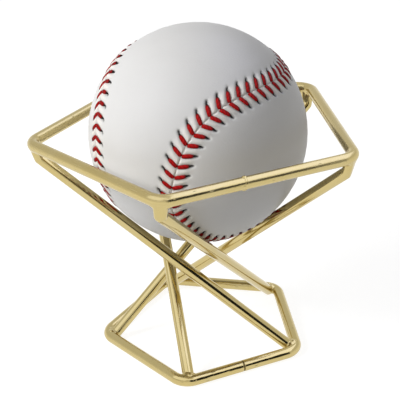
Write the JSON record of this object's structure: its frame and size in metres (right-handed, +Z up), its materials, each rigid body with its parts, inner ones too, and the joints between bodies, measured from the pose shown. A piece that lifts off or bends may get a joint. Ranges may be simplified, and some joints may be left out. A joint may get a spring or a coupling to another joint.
{
  "type": "ball display stand",
  "caption": "Open twisted wire stand, two pentagon rings joined by slanted struts, with a stitched leather ball resting in it.",
  "frame": {"origin": "on the stand's vertical axis, at the surface that the base ring stands on", "axes": "+Z up along the stand's axis, -Y towards the rim's front corner"},
  "size_m": [0.1102, 0.1056, 0.1157],
  "materials": {
    "gold_wire": "polished",
    "cork": "matte",
    "black_rubber": "matte",
    "red_rubber": "matte",
    "grey_wool": "matte",
    "white_wool": "matte",
    "cotton": "matte",
    "white_leather": "satin",
    "red_thread": "matte"
  },
  "bodies": {
    "stand": {"rim_ring": "gold_wire", "base_ring": "gold_wire", "strut_1": "gold_wire", "strut_2": "gold_wire", "strut_3": "gold_wire", "strut_4": "gold_wire", "strut_5": "gold_wire", "rim_weld_1": "gold_wire", "rim_weld_2": "gold_wire", "rim_weld_3": "gold_wire", "rim_weld_4": "gold_wire", "rim_weld_5": "gold_wire", "base_weld_1": "gold_wire", "base_weld_2": "gold_wire", "base_weld_3": "gold_wire", "base_weld_4": "gold_wire", "base_weld_5": "gold_wire", "rim_butt_weld": "gold_wire", "base_butt_weld": "gold_wire"},
    "ball": {"cork_core": "cork", "inner_rubber_shell": "black_rubber", "outer_rubber_shell": "red_rubber", "first_wool_winding": "grey_wool", "second_wool_winding": "white_wool", "third_wool_winding": "grey_wool", "finishing_winding": "cotton", "cover_panel_1": "white_leather", "cover_panel_2": "white_leather", "seam_thread": "red_thread"}
  },
  "joints": [
    {"name": "ball_lift", "type": "slide", "parent": "stand", "child": "ball", "axis": [0, 0, 1], "range_m": [0, 0.12]}
  ]
}
